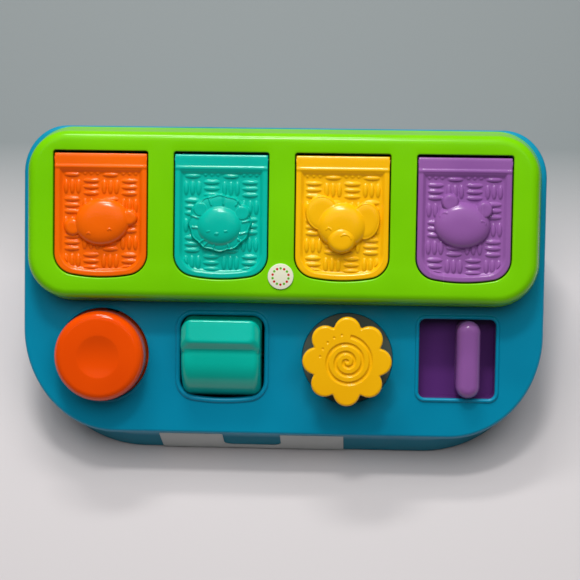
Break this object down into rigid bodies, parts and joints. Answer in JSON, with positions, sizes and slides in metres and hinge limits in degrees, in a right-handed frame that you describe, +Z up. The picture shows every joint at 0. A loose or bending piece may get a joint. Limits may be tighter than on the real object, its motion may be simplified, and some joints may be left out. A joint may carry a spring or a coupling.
{
  "type": "pop up animal toy",
  "caption": "Pop up animal toy: a sloping blue plastic box whose green bezel holds a row of hinged animal lids, worked by a push button, a rocker, a flower knob and a slider",
  "frame": {"origin": "the middle of the footprint, on the surface that the feet stand on", "axes": "+X to the right as the child faces the toy, +Y away from the child, +Z up; the deck slopes up by 26 degrees towards +Y"},
  "size_m": [0.29, 0.1546, 0.1201],
  "materials": {
    "blue": "semi-gloss moulded plastic",
    "green": "glossy moulded plastic",
    "orange": "glossy moulded plastic",
    "teal": "glossy moulded plastic",
    "yellow": "glossy moulded plastic",
    "purple": "glossy moulded plastic",
    "dark_purple": "moulded plastic",
    "grey": "moulded plastic",
    "label": "plain printed card",
    "badge": "printed film",
    "steel": "bright steel",
    "rubber": "matt rubber"
  },
  "bodies": {
    "housing": {"top_housing": "blue", "slider_lining": "dark_purple", "base_plate": "blue", "base_screws": "steel", "rubber_feet": "rubber", "front_label": "label", "bezel": "green", "badge": "badge", "bezel_screws": "steel", "well_tray": "blue", "hinge_pin_1": "steel", "hinge_pin_2": "steel", "hinge_pin_3": "steel", "hinge_pin_4": "steel", "lid_spring_1": "steel", "lid_spring_2": "steel", "lid_spring_3": "steel", "lid_spring_4": "steel", "button_bracket": "blue", "button_spring": "steel", "rocker_spring": "steel", "flower_spring": "steel", "slider_guide": "blue", "slider_spring": "steel"},
    "lid_1": {"lid_monkey": "orange", "figure_monkey": "orange"},
    "lid_2": {"lid_lion": "teal", "figure_lion": "teal"},
    "lid_3": {"lid_elephant": "yellow", "figure_elephant": "yellow"},
    "lid_4": {"lid_hippo": "purple", "figure_hippo": "purple"},
    "button": {"push_button": "orange"},
    "rocker": {"rocker_paddle": "teal", "rocker_axle": "steel", "rocker_crank": "teal"},
    "flower": {"flower_knob": "yellow", "flower_disc": "grey", "flower_spindle": "grey", "flower_clip": "steel"},
    "slider": {"slider_knob": "purple", "slider_carriage": "dark_purple"},
    "latch_body_1": {"latch_1": "grey"},
    "latch_body_2": {"latch_2": "grey"},
    "latch_body_3": {"latch_3": "grey"},
    "latch_body_4": {"latch_4": "grey"}
  },
  "joints": [
    {"name": "lid_hinge_1", "type": "hinge", "parent": "housing", "child": "lid_1", "pos_m": [-0.09878, 0.05198, 0.11142], "axis": [-1, 0, 0], "range_deg": [0, 100]},
    {"name": "lid_hinge_2", "type": "hinge", "parent": "housing", "child": "lid_2", "pos_m": [-0.03293, 0.05198, 0.11142], "axis": [-1, 0, 0], "range_deg": [0, 100]},
    {"name": "lid_hinge_3", "type": "hinge", "parent": "housing", "child": "lid_3", "pos_m": [0.03293, 0.05198, 0.11142], "axis": [-1, 0, 0], "range_deg": [0, 100]},
    {"name": "lid_hinge_4", "type": "hinge", "parent": "housing", "child": "lid_4", "pos_m": [0.09878, 0.05198, 0.11142], "axis": [-1, 0, 0], "range_deg": [0, 100]},
    {"name": "button_slide", "type": "slide", "parent": "housing", "child": "button", "axis": [0, 0.4384, -0.8988], "range_m": [0, 0.008], "stiffness_N_per_m": 400, "springref_m": -0.003, "deforming": ["button_spring"]},
    {"name": "rocker_hinge", "type": "hinge", "parent": "housing", "child": "rocker", "pos_m": [-0.0331, -0.03406, 0.04031], "axis": [1, 0, 0], "range_deg": [0, 40], "stiffness_Nm_per_rad": 0.08, "springref_deg": -20.05},
    {"name": "flower_hinge", "type": "hinge", "parent": "housing", "child": "flower", "pos_m": [0.03675, -0.03813, 0.04889], "axis": [0, -0.4384, 0.8988], "range_deg": [0, 60], "stiffness_Nm_per_rad": 0.04, "springref_deg": -20.05},
    {"name": "slider_slide", "type": "slide", "parent": "housing", "child": "slider", "axis": [-1, 0, 0], "range_m": [0, 0.015], "stiffness_N_per_m": 60, "springref_m": -0.005},
    {"name": "latch_slide_1", "type": "slide", "parent": "housing", "child": "latch_body_1", "axis": [0, -0.8988, -0.4384], "range_m": [0, 0.0025]},
    {"name": "latch_slide_2", "type": "slide", "parent": "housing", "child": "latch_body_2", "axis": [0, -0.8988, -0.4384], "range_m": [0, 0.0025]},
    {"name": "latch_slide_3", "type": "slide", "parent": "housing", "child": "latch_body_3", "axis": [0, -0.8988, -0.4384], "range_m": [0, 0.0025]},
    {"name": "latch_slide_4", "type": "slide", "parent": "housing", "child": "latch_body_4", "axis": [0, -0.8988, -0.4384], "range_m": [0, 0.0025]}
  ],
  "couplings": [
    {"joint": "latch_slide_1", "follows": "button_slide", "ratio": 0.31219},
    {"joint": "latch_slide_2", "follows": "rocker_hinge", "m_per_rad": 0.0035774},
    {"joint": "latch_slide_3", "follows": "flower_hinge", "m_per_rad": 0.0023849},
    {"joint": "latch_slide_4", "follows": "slider_slide", "ratio": 0.1665}
  ]
}
